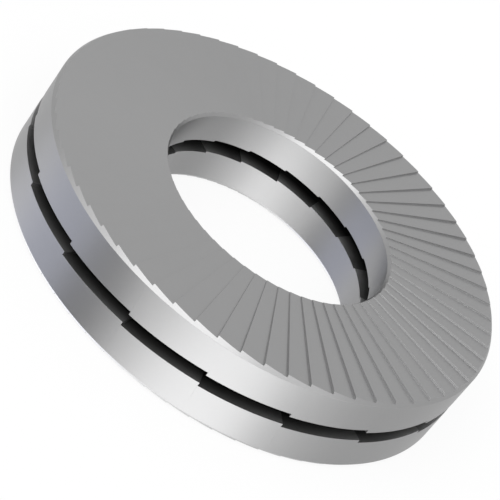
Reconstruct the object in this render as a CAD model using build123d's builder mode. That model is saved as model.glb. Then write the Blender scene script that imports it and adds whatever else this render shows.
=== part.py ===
from build123d import *
import os
from math import pi, sin

os.makedirs("parts", exist_ok=True)

# A wedge locking washer pair in its wide pattern, lying flat on its serrations.
# Two identical hardened washers sit face to face, with their cam ramps inside and
# their radial serrations outside. Units are millimetres, +Z runs up the bore's axis,
# and the origin is on that axis at the serration crests that the pair lies on.
# Seen from above, every cam ramp climbs anticlockwise and drops at a radial step.

# Driving dimensions of one washer
outer_diameter = 13.2
bore_diameter = 6.6
washer_thickness = 1.085
cam_count = 18
cam_rise = 0.098
tooth_count = 64
tooth_depth = 0.058
bevel_width = 0.095
bevel_height = 0.13

# Driving dimensions of the pair
cam_gap = 0.378
bond_width = 1.5

# Values that follow from them
outer_radius = outer_diameter / 2
bore_radius = bore_diameter / 2
pair_height = 2 * washer_thickness - cam_rise + cam_gap
cam_valley = washer_thickness - cam_rise
cam_span = outer_radius * sin(2 * pi / cam_count)
bond_radius = (outer_radius + bore_radius) / 2
crest_radius = outer_radius - bevel_width
tooth_span = 2 * crest_radius * sin(pi / tooth_count)
overrun = 0.2
cutter_start = bore_radius / 2
cutter_length = outer_radius + overrun - cutter_start


# Serration cutter: a straight saw-tooth groove, centred on the X axis and as wide as one
# tooth at the bevel. Its floor stays level, so the crests get lower towards the bore.
with BuildPart() as tooth_cutter:
    with BuildSketch(Plane.YZ.offset(cutter_start)):
        with BuildLine():
            Polyline(
                (-tooth_span / 2, -overrun),
                (tooth_span / 2, -overrun),
                (tooth_span / 2, 0),
                (-tooth_span / 2, tooth_depth),
                close=True,
            )
        make_face()
    extrude(amount=cutter_length)


# Cam cutter: its upright side stands on the radial line of the step, and its sloping
# floor climbs from the valley to the washer's full thickness at the rim.
with BuildPart() as cam_cutter:
    with BuildSketch(Plane.YZ.offset(cutter_start)):
        with BuildLine():
            Polyline(
                (0, cam_valley),
                (cam_span, washer_thickness),
                (cam_span, washer_thickness + overrun),
                (0, washer_thickness + overrun),
                close=True,
            )
        make_face()
    extrude(amount=cutter_length)


# Lower washer: a bevelled ring, serrated below and cut into cam ramps above. A step lies
# half a cam either side of the X axis, so a washer turned over falls in line with it.
with BuildPart() as lower_washer:
    with BuildSketch():
        Circle(outer_radius)
        Circle(bore_radius, mode=Mode.SUBTRACT)
    extrude(amount=washer_thickness)
    serrated_face = faces().sort_by(Axis.Z)[0]
    chamfer(serrated_face.edges(), length=bevel_width, length2=bevel_height, reference=serrated_face)
    with PolarLocations(0, tooth_count):
        add(tooth_cutter.part, mode=Mode.SUBTRACT)
    with PolarLocations(0, cam_count, start_angle=180 / cam_count):
        add(cam_cutter.part, mode=Mode.SUBTRACT)
lower_washer.part.label = "lower_washer"


# Upper washer: the same washer turned over about the X axis, held a cam gap above.
with BuildPart() as upper_washer:
    with Locations(Location((0, 0, pair_height), (180, 0, 0))):
        add(lower_washer.part)
upper_washer.part.label = "upper_washer"


# Bond: the ring of set adhesive that holds the two washers together as they are supplied.
# It runs midway between rim and bore and fills the space between both sets of cam ramps.
with BuildPart() as bond_ring:
    with BuildSketch(Plane.XY.offset(cam_valley)):
        Circle(bond_radius + bond_width / 2)
        Circle(bond_radius - bond_width / 2, mode=Mode.SUBTRACT)
    extrude(amount=pair_height - 2 * cam_valley)
    add(lower_washer.part, mode=Mode.SUBTRACT)
    add(upper_washer.part, mode=Mode.SUBTRACT)
bond_ring.part.label = "bond_ring"


for piece in (lower_washer, upper_washer, bond_ring):
    export_step(piece.part, f"parts/{piece.part.label}.step")
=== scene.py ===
from math import cos, pi, radians, sin

import bpy
from mathutils import Matrix, Vector


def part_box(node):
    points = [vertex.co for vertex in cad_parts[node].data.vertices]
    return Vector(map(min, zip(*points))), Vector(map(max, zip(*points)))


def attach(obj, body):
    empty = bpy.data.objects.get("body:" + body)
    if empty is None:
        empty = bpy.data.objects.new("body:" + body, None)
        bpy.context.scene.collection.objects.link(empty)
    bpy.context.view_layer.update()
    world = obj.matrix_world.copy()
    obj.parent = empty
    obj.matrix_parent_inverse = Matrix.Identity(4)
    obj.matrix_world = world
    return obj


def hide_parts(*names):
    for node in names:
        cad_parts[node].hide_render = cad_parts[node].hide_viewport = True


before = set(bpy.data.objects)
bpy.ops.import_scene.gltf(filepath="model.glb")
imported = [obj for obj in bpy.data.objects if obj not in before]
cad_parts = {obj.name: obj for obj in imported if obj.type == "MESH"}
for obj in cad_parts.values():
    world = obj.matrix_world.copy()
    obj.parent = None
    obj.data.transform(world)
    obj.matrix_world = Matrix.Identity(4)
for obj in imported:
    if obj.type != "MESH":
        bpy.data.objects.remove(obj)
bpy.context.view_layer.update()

scene = bpy.context.scene


# Camera. The picture looks down on the pair at about a third of a right angle, from eight
# and a half rim radii away, and it is rolled so that the bore's axis leans to the right.
washer_low, washer_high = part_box("upper_washer")
rim_radius = (washer_high.x - washer_low.x) / 2
picture_side = 500
focal_pixels = 2149.8
origin_pixel = Vector((232.80, 267.94))
view_turn = radians(8.89)
view_drop = radians(31.963)
picture_roll = radians(37.647)
view_depth = 8.54 * rim_radius

forward = Vector((sin(view_turn) * cos(view_drop), cos(view_turn) * cos(view_drop), -sin(view_drop)))
level_right = Vector((cos(view_turn), -sin(view_turn), 0))
level_down = forward.cross(level_right)
right = level_right * cos(picture_roll) - level_down * sin(picture_roll)
down = level_right * sin(picture_roll) + level_down * cos(picture_roll)
centre_pixel = Vector((picture_side - 1, picture_side - 1)) / 2
across, below = (origin_pixel - centre_pixel) * view_depth / focal_pixels

bpy.ops.object.camera_add()
camera = bpy.context.object
camera.name = "camera"
camera.data.lens = camera.data.sensor_width * focal_pixels / picture_side
camera.data.clip_start = 0.001
camera.data.clip_end = 10
turn = Matrix((right, -down, -forward)).transposed().to_4x4()
camera.matrix_world = Matrix.Translation(-(right * across + down * below + forward * view_depth)) @ turn
scene.camera = camera


# Floor. A sheet of white card under the washers. It keeps their soft shadow, and where the
# picture looks at it, most of its tone is the plain white of the backdrop.
card_side = 1.2
card_white = (0.9, 0.9, 0.9, 1)
backdrop_white = (1, 1, 1, 1)
backdrop_share = 0.88

bpy.ops.object.select_all(action="DESELECT")
bpy.ops.mesh.primitive_plane_add(size=card_side)
floor = bpy.context.object
floor.name = "floor"
card = bpy.data.materials.new("white_card")
card.use_nodes = True
card_nodes = card.node_tree.nodes
card_links = card.node_tree.links
card_paper = card_nodes["Principled BSDF"]
card_paper.inputs["Base Color"].default_value = card_white
card_paper.inputs["Roughness"].default_value = 1.0
card_paper.inputs["Specular IOR Level"].default_value = 0.0
backdrop = card_nodes.new("ShaderNodeEmission")
backdrop.inputs["Color"].default_value = backdrop_white
backdrop.inputs["Strength"].default_value = 1.0
card_path = card_nodes.new("ShaderNodeLightPath")
seen = card_path.outputs["Is Camera Ray"]
for ray in ("Is Glossy Ray", "Is Transmission Ray"):
    either = card_nodes.new("ShaderNodeMath")
    either.operation = "MAXIMUM"
    card_links.new(seen, either.inputs[0])
    card_links.new(card_path.outputs[ray], either.inputs[1])
    seen = either.outputs["Value"]
share = card_nodes.new("ShaderNodeMath")
share.operation = "MULTIPLY"
share.inputs[1].default_value = backdrop_share
card_links.new(seen, share.inputs[0])
card_mix = card_nodes.new("ShaderNodeMixShader")
card_links.new(share.outputs["Value"], card_mix.inputs["Fac"])
card_links.new(card_paper.outputs["BSDF"], card_mix.inputs[1])
card_links.new(backdrop.outputs["Emission"], card_mix.inputs[2])
card_links.new(card_mix.outputs["Shader"], card_nodes["Material Output"].inputs["Surface"])
floor.data.materials.append(card)
# The steel mirrors the table of the studio below, and not this card.
floor.visible_glossy = False


# Studio. An even sky that goes all round, for the steel to mirror: a soft box over the front
# and its light on the table, a dim room behind and at the right, and at the left a cool
# window beside a dark gap.
even_sky = (1.176, 1.176, 1.176)

studio = bpy.data.worlds.new("studio")
scene.world = studio
studio.use_nodes = True
studio_nodes = studio.node_tree.nodes
studio_links = studio.node_tree.links
looking = studio_nodes.new("ShaderNodeTexCoord").outputs["Generated"]
sky = None

# Each patch lies round an azimuth and an elevation. It has its whole tone inside the inner
# angle from there, and fades out to what the sky was before it at the outer angle.
for patch, azimuth, elevation, inner, outer, tone in (
    ("dim room behind", 114.8, -9.8, 48.8, 88.0, (0.62, 0.62, 0.62)),
    ("dim room at the right", 20.5, 34.7, 39.9, 46.8, (0.64, 0.64, 0.64)),
    ("front soft box", 252.0, 56.0, 27.8, 36.0, (2.45, 2.45, 2.45)),
    ("ceiling", 0.0, 90.0, 8.0, 26.0, (1.0, 1.0, 1.0)),
    ("shade under the soft box", 253.5, 12.0, 9.0, 22.0, (0.6, 0.6, 0.6)),
    ("front light on the table", 283.8, -56.7, 22.6, 29.8, (2.61, 2.61, 2.61)),
    ("table below", 71.0, -72.0, 22.0, 44.0, (2.0, 2.0, 2.0)),
    ("shade at the right", 24.4, -33.0, 15.7, 59.4, (0.62, 0.62, 0.62)),
    ("cool daylight", 190.0, -45.9, 17.2, 32.0, (0.583, 0.61, 0.735)),
    ("window", 148.2, -59.3, 10.9, 29.0, (1.98, 2.0, 2.2)),
    ("dark gap", 217.4, -44.7, 10.3, 18.1, (0.02, 0.02, 0.026)),
):
    bearing = radians(azimuth)
    lift = radians(elevation)
    nearness = studio_nodes.new("ShaderNodeVectorMath")
    nearness.label = patch
    nearness.operation = "DOT_PRODUCT"
    nearness.inputs[1].default_value = (cos(bearing) * cos(lift), sin(bearing) * cos(lift), sin(lift))
    studio_links.new(looking, nearness.inputs[0])
    fade = studio_nodes.new("ShaderNodeMapRange")
    fade.interpolation_type = "SMOOTHSTEP"
    fade.inputs["From Min"].default_value = cos(radians(outer))
    fade.inputs["From Max"].default_value = cos(radians(inner))
    studio_links.new(nearness.outputs["Value"], fade.inputs["Value"])
    laid_over = studio_nodes.new("ShaderNodeMix")
    laid_over.data_type = "RGBA"
    studio_links.new(fade.outputs["Result"], laid_over.inputs["Factor"])
    if sky is None:
        laid_over.inputs["A"].default_value = (*even_sky, 1)
    else:
        studio_links.new(sky, laid_over.inputs["A"])
    laid_over.inputs["B"].default_value = (*tone, 1)
    sky = laid_over.outputs["Result"]
studio_links.new(sky, studio_nodes["Background"].inputs["Color"])
studio_nodes["Background"].inputs["Strength"].default_value = 1.0


# Lower washer. A hardened steel ring with sixty-four serrations pressed below and eighteen
# cam ramps above, bevelled round its serrated face. It has a grey zinc flake coat. On the
# ramps the coat's tone carries painted shade, darker away from rim and bore where the two
# washers shade each other, and painted light, lighter up to each step.
millimetre = 0.001
outer_radius = 6.6
bore_radius = 3.3
washer_thickness = 1.085
bevel_width = 0.095
bevel_height = 0.13
tooth_count = 64
tooth_depth = 0.058
cam_count = 18
cam_rise = 0.098
edge_round = 0.003
crest_radius = outer_radius - bevel_width
tooth_span = 2 * crest_radius * sin(pi / tooth_count)
cam_span = outer_radius * sin(2 * pi / cam_count)
cam_valley = washer_thickness - cam_rise
wall_sides = 576
overrun = 0.2
ring_weld = 0.0001
cut_weld = 0.0005
sharp_angle = radians(20)


def wedges(name, first_turn, count, corners):
    """A ring of straight prisms that point at the axis, each with these (along the rim, height) corners."""
    start, end = bore_radius / 2, outer_radius + overrun
    bpy.ops.object.select_all(action="DESELECT")
    bpy.ops.mesh.primitive_cube_add(size=1, location=((start + end) / 2, 0, 0), scale=(end - start, 1, 1))
    wedge = bpy.context.object
    wedge.name = name
    bpy.ops.object.transform_apply(location=True, rotation=True, scale=True)
    for vertex in wedge.data.vertices:
        side = 0 if vertex.co.y < 0 else 1
        level = 0 if vertex.co.z < 0 else 1
        vertex.co.y, vertex.co.z = corners[side][level]
    wedge.data.transform(Matrix.Rotation(radians(first_turn), 4, "Z"))
    bpy.ops.object.mode_set(mode="EDIT")
    bpy.ops.mesh.select_all(action="SELECT")
    bpy.ops.mesh.spin(
        steps=count - 1, dupli=True, angle=2 * pi * (count - 1) / count, center=(0, 0, 0), axis=(0, 0, 1)
    )
    bpy.ops.mesh.select_all(action="SELECT")
    bpy.ops.mesh.normals_make_consistent(inside=False)
    bpy.ops.object.mode_set(mode="OBJECT")
    return wedge


def cut_away(piece, cutter):
    """Takes the cutter's shape out of the piece, and the cutter is gone afterwards."""
    bpy.ops.object.select_all(action="DESELECT")
    bpy.context.view_layer.objects.active = piece
    piece.select_set(True)
    cut = piece.modifiers.new("cut", "BOOLEAN")
    cut.operation = "DIFFERENCE"
    cut.solver = "EXACT"
    cut.use_self = True
    cut.object = cutter
    bpy.ops.object.modifier_apply(modifier="cut")
    bpy.data.objects.remove(cutter)


# The blank ring lies on its bevelled face, drawn out round its section from the bore.
bpy.ops.object.select_all(action="DESELECT")
bpy.ops.mesh.primitive_circle_add(vertices=wall_sides, radius=bore_radius, location=(0, 0, bevel_height))
washer = bpy.context.object
washer.name = "lower_washer_steel"
bpy.ops.object.transform_apply(location=True, rotation=True, scale=True)
bpy.ops.object.mode_set(mode="EDIT")
bpy.ops.mesh.select_all(action="SELECT")
radius, height = bore_radius, bevel_height
for next_radius, next_height in (
    (bore_radius + bevel_width, 0),
    (crest_radius, 0),
    (outer_radius, bevel_height),
    (outer_radius, washer_thickness),
    (bore_radius, washer_thickness),
    (bore_radius, bevel_height),
):
    bpy.ops.mesh.extrude_region_move(TRANSFORM_OT_translate={"value": (0, 0, next_height - height)})
    spread = next_radius / radius
    bpy.ops.transform.resize(value=(spread, spread, 1), center_override=(0, 0, 0))
    radius, height = next_radius, next_height
bpy.ops.mesh.select_all(action="SELECT")
bpy.ops.mesh.remove_doubles(threshold=ring_weld)
bpy.ops.mesh.normals_make_consistent(inside=False)
bpy.ops.object.mode_set(mode="OBJECT")

# The grooves between the serrations, then the valleys of the cam ramps.
tooth_floor = ((-tooth_span / 2, -overrun), (-tooth_span / 2, tooth_depth))
tooth_crest = ((tooth_span / 2, -overrun), (tooth_span / 2, 0))
cut_away(washer, wedges("tooth_cutter", 0, tooth_count, (tooth_floor, tooth_crest)))
ramp_foot = ((0, cam_valley), (0, washer_thickness + overrun))
ramp_top = ((cam_span, washer_thickness), (cam_span, washer_thickness + overrun))
cut_away(washer, wedges("cam_cutter", 180 / cam_count, cam_count, (ramp_foot, ramp_top)))
bpy.ops.object.mode_set(mode="EDIT")
bpy.ops.mesh.select_all(action="SELECT")
bpy.ops.mesh.remove_doubles(threshold=cut_weld)
bpy.ops.object.mode_set(mode="OBJECT")
bpy.ops.object.shade_smooth_by_angle(angle=sharp_angle)

# The coat is a close grain of tiny flakes, with a faint cloud in how thickly it lies.
coat_metal = 0.88
flakes_per_metre = 24000
flake_height = 0.002 * millimetre
flake_relief = 0.03
flake_coat = bpy.data.node_groups.new("flake_coat", "ShaderNodeTree")
for name, way, kind in (
    ("Place", "INPUT", "NodeSocketVector"),
    ("Dark", "INPUT", "NodeSocketColor"),
    ("Light", "INPUT", "NodeSocketColor"),
    ("Smooth", "INPUT", "NodeSocketFloat"),
    ("Dull", "INPUT", "NodeSocketFloat"),
    ("Color", "OUTPUT", "NodeSocketColor"),
    ("Roughness", "OUTPUT", "NodeSocketFloat"),
    ("Height", "OUTPUT", "NodeSocketFloat"),
):
    flake_coat.interface.new_socket(name=name, in_out=way, socket_type=kind)
coat_nodes = flake_coat.nodes
coat_links = flake_coat.links
coat_in = coat_nodes.new("NodeGroupInput")
coat_out = coat_nodes.new("NodeGroupOutput")


def coat_noise(per_metre, detail):
    """Noise over the coat with about this many lumps to a metre."""
    noise = coat_nodes.new("ShaderNodeTexNoise")
    noise.inputs["Scale"].default_value = per_metre
    noise.inputs["Detail"].default_value = detail
    coat_links.new(coat_in.outputs["Place"], noise.inputs["Vector"])
    return noise.outputs["Fac"]


def coat_blend(first, second, share):
    """Mixes two grey patterns, the second one by this share."""
    blend = coat_nodes.new("ShaderNodeMix")
    blend.data_type = "FLOAT"
    blend.inputs["Factor"].default_value = share
    coat_links.new(first, blend.inputs["A"])
    coat_links.new(second, blend.inputs["B"])
    return blend.outputs["Result"]


flakes = coat_nodes.new("ShaderNodeTexVoronoi")
flakes.inputs["Scale"].default_value = flakes_per_metre
coat_links.new(coat_in.outputs["Place"], flakes.inputs["Vector"])
flake_tone = coat_nodes.new("ShaderNodeSeparateColor")
coat_links.new(flakes.outputs["Color"], flake_tone.inputs["Color"])
grain = coat_blend(coat_noise(per_metre=38000, detail=2), flake_tone.outputs["Red"], share=0.4)
cloud = coat_blend(coat_noise(per_metre=240, detail=2), coat_noise(per_metre=1300, detail=3), share=0.5)
coat_tone = coat_nodes.new("ShaderNodeMix")
coat_tone.data_type = "RGBA"
coat_links.new(coat_blend(grain, cloud, share=0.6), coat_tone.inputs["Factor"])
coat_links.new(coat_in.outputs["Dark"], coat_tone.inputs["A"])
coat_links.new(coat_in.outputs["Light"], coat_tone.inputs["B"])
coat_links.new(coat_tone.outputs["Result"], coat_out.inputs["Color"])
coat_gloss = coat_nodes.new("ShaderNodeMapRange")
coat_gloss.inputs["From Min"].default_value = 0.25
coat_gloss.inputs["From Max"].default_value = 0.75
coat_links.new(coat_blend(cloud, grain, share=0.3), coat_gloss.inputs["Value"])
coat_links.new(coat_in.outputs["Smooth"], coat_gloss.inputs["To Min"])
coat_links.new(coat_in.outputs["Dull"], coat_gloss.inputs["To Max"])
coat_links.new(coat_gloss.outputs["Result"], coat_out.inputs["Roughness"])
coat_links.new(grain, coat_out.inputs["Height"])


def coated_steel(name, dark, light, smooth, dull):
    """Steel under the coat, between a dark and a light tone, and between a smooth and a dull gloss."""
    material = bpy.data.materials.new(name)
    material.use_nodes = True
    nodes = material.node_tree.nodes
    links = material.node_tree.links
    shader = nodes["Principled BSDF"]
    shader.inputs["Metallic"].default_value = coat_metal
    shader.inputs["IOR"].default_value = 1.5
    place = nodes.new("ShaderNodeTexCoord")
    coat = nodes.new("ShaderNodeGroup")
    coat.node_tree = flake_coat
    coat.inputs["Dark"].default_value = (*dark, 1)
    coat.inputs["Light"].default_value = (*light, 1)
    coat.inputs["Smooth"].default_value = smooth
    coat.inputs["Dull"].default_value = dull
    links.new(place.outputs["Object"], coat.inputs["Place"])
    links.new(coat.outputs["Color"], shader.inputs["Base Color"])
    links.new(coat.outputs["Roughness"], shader.inputs["Roughness"])
    bump = nodes.new("ShaderNodeBump")
    bump.inputs["Strength"].default_value = flake_relief
    bump.inputs["Distance"].default_value = flake_height
    links.new(coat.outputs["Height"], bump.inputs["Height"])
    links.new(bump.outputs["Normal"], shader.inputs["Normal"])
    return material


steel = coated_steel(
    "zinc_flake_steel", dark=(0.405, 0.405, 0.407), light=(0.437, 0.437, 0.439), smooth=0.28, dull=0.32
)
rubbed_edge = coated_steel(
    "rubbed_edge", dark=(0.41, 0.41, 0.41), light=(0.46, 0.46, 0.46), smooth=0.28, dull=0.33
)
# The ramps' coat. Its tone gets painted shade and painted light below.
cam_face_painted_shading = coated_steel(
    "cam_face_painted_light_and_shade", dark=(0.40, 0.40, 0.40), light=(0.46, 0.46, 0.46), smooth=0.29, dull=0.34
)
finishes = (steel, rubbed_edge, cam_face_painted_shading)
for finish in finishes:
    washer.data.materials.append(finish)

# Painted shade: deep in the gap between the washers the ramps keep only a small share of the
# coat's tone, which comes back to full along rim and bore. Painted light: over a part of each
# cam the tone is raised towards the step, most of all at the bore.
middle_radius = (outer_radius + bore_radius) / 2
half_width = (outer_radius - bore_radius) / 2
# Painted shade: the reach in from rim and bore over which the ramps darken, and the share of tone left
# deepest in the gap.
gap_shade_reach = 0.5
gap_shade_deepest = 0.12
# Painted light: where along each cam the tone starts and stops rising, and how far it rises.
step_light_start = 0.25
step_light_end = 0.9
step_light_least = 0.86
step_light_at_bore = 1.85
step_light_at_rim = 1.25
painted_shading_nodes = cam_face_painted_shading.node_tree.nodes
painted_shading_links = cam_face_painted_shading.node_tree.links


def painted_shading_step(kind, *feeds, operation=None):
    """One step of the painted shade and light on the ramps, fed in turn with numbers and with what other
    steps give.
    """
    step = painted_shading_nodes.new(kind)
    if operation:
        step.operation = operation
    for socket, feed in zip(step.inputs, feeds):
        if isinstance(feed, bpy.types.NodeSocket):
            painted_shading_links.new(feed, socket)
        else:
            socket.default_value = feed
    return step.outputs


def painted_shading_sum(operation, *feeds):
    """One sum of the painted shade and light on the ramps."""
    return painted_shading_step("ShaderNodeMath", *feeds, operation=operation)["Value"]


def painted_shading_slope(value, start, end, least, most):
    """Goes evenly from least to most while the value goes from start to end."""
    return painted_shading_step("ShaderNodeMapRange", value, start, end, least, most)["Result"]


painted_shading_place = painted_shading_nodes["Texture Coordinate"].outputs["Object"]
painted_shading_flat = painted_shading_step("ShaderNodeVectorMath", painted_shading_place, (1, 1, 0), operation="MULTIPLY")
painted_shading_radius = painted_shading_step("ShaderNodeVectorMath", painted_shading_flat["Vector"], operation="LENGTH")
off_middle = painted_shading_sum("SUBTRACT", painted_shading_radius["Value"], middle_radius * millimetre)
# Painted shade between the washers, darker away from rim and bore.
painted_gap_shade = painted_shading_slope(
    painted_shading_sum("ABSOLUTE", off_middle),
    (half_width - gap_shade_reach) * millimetre,
    half_width * millimetre,
    gap_shade_deepest,
    1,
)
painted_shading_axes = painted_shading_step("ShaderNodeSeparateXYZ", painted_shading_place)
painted_shading_turn = painted_shading_sum("ARCTAN2", painted_shading_axes["Y"], painted_shading_axes["X"])
cams_passed = painted_shading_sum("MULTIPLY_ADD", painted_shading_turn, cam_count / (2 * pi), 0.5)
along_cam = painted_shading_sum("FRACT", cams_passed)
# Painted light, raised most at the bore and less at the rim, towards each step.
step_light_most = painted_shading_slope(off_middle, -half_width * millimetre, half_width * millimetre, step_light_at_bore, step_light_at_rim)
painted_step_light = painted_shading_slope(along_cam, step_light_start, step_light_end, step_light_least, step_light_most)
painted_shading_tone = painted_shading_nodes.new("ShaderNodeVectorMath")
painted_shading_tone.operation = "SCALE"
painted_shading_links.new(painted_shading_nodes["Group"].outputs["Color"], painted_shading_tone.inputs["Vector"])
painted_shading_links.new(painted_shading_sum("MULTIPLY", painted_gap_shade, painted_step_light), painted_shading_tone.inputs["Scale"])
painted_shading_links.new(painted_shading_tone.outputs["Vector"], painted_shading_nodes["Principled BSDF"].inputs["Base Color"])
# The ramps between the walls take the coat with painted shade and light.
for face in washer.data.polygons:
    reach = Vector(face.center[:2]).length
    between_walls = bore_radius + edge_round < reach < outer_radius - edge_round
    if between_walls and face.center.z > cam_valley - edge_round:
        face.material_index = finishes.index(cam_face_painted_shading)

# Every sharp edge is rounded a little, and rubbed brighter there.
rounding = washer.modifiers.new("rounding", "BEVEL")
rounding.width = edge_round
rounding.segments = 2
rounding.limit_method = "ANGLE"
rounding.angle_limit = sharp_angle
rounding.use_clamp_overlap = False
rounding.harden_normals = True
rounding.material = finishes.index(rubbed_edge)
bpy.ops.object.modifier_apply(modifier="rounding")

# The washer was made in millimetres, and the scene is in metres.
washer.data.transform(Matrix.Scale(millimetre, 4))
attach(washer, "root")
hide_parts("lower_washer")


# Bond. The ring of set adhesive between the ramps, dark and a little uneven, that holds the
# two washers together until they are fitted.
adhesive_dark = (0.018, 0.017, 0.016, 1)
adhesive_light = (0.05, 0.046, 0.042, 1)
adhesive_smooth = 0.45
adhesive_dull = 0.75
lumps_per_metre = 2600
lump_detail = 4
lump_height = 0.03 * millimetre
lump_relief = 0.5

adhesive = bpy.data.materials.new("set_adhesive")
adhesive.use_nodes = True
adhesive_nodes = adhesive.node_tree.nodes
adhesive_links = adhesive.node_tree.links
adhesive_shader = adhesive_nodes["Principled BSDF"]
adhesive_place = adhesive_nodes.new("ShaderNodeTexCoord")
lumps = adhesive_nodes.new("ShaderNodeTexNoise")
lumps.inputs["Scale"].default_value = lumps_per_metre
lumps.inputs["Detail"].default_value = lump_detail
adhesive_links.new(adhesive_place.outputs["Object"], lumps.inputs["Vector"])
adhesive_tone = adhesive_nodes.new("ShaderNodeMix")
adhesive_tone.data_type = "RGBA"
adhesive_tone.inputs["A"].default_value = adhesive_dark
adhesive_tone.inputs["B"].default_value = adhesive_light
adhesive_links.new(lumps.outputs["Fac"], adhesive_tone.inputs["Factor"])
adhesive_links.new(adhesive_tone.outputs["Result"], adhesive_shader.inputs["Base Color"])
adhesive_gloss = adhesive_nodes.new("ShaderNodeMapRange")
adhesive_gloss.inputs["To Min"].default_value = adhesive_smooth
adhesive_gloss.inputs["To Max"].default_value = adhesive_dull
adhesive_links.new(lumps.outputs["Fac"], adhesive_gloss.inputs["Value"])
adhesive_links.new(adhesive_gloss.outputs["Result"], adhesive_shader.inputs["Roughness"])
adhesive_bump = adhesive_nodes.new("ShaderNodeBump")
adhesive_bump.inputs["Strength"].default_value = lump_relief
adhesive_bump.inputs["Distance"].default_value = lump_height
adhesive_links.new(lumps.outputs["Fac"], adhesive_bump.inputs["Height"])
adhesive_links.new(adhesive_bump.outputs["Normal"], adhesive_shader.inputs["Normal"])
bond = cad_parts["bond_ring"]
bond.data.materials.clear()
bond.data.materials.append(adhesive)


# Upper washer. The same washer turned over, so that both sets of ramps face each other. The
# bond holds it about 0.4 mm clear of the lower one.
pair_height = washer_high.z

upper = bpy.data.objects.new("upper_washer_steel", washer.data.copy())
scene.collection.objects.link(upper)
upper.data.transform(Matrix.Translation((0, 0, pair_height)) @ Matrix.Rotation(pi, 4, "X"))
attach(upper, "root")
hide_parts("upper_washer")


# Colours show as they are written.
scene.view_settings.view_transform = "Standard"
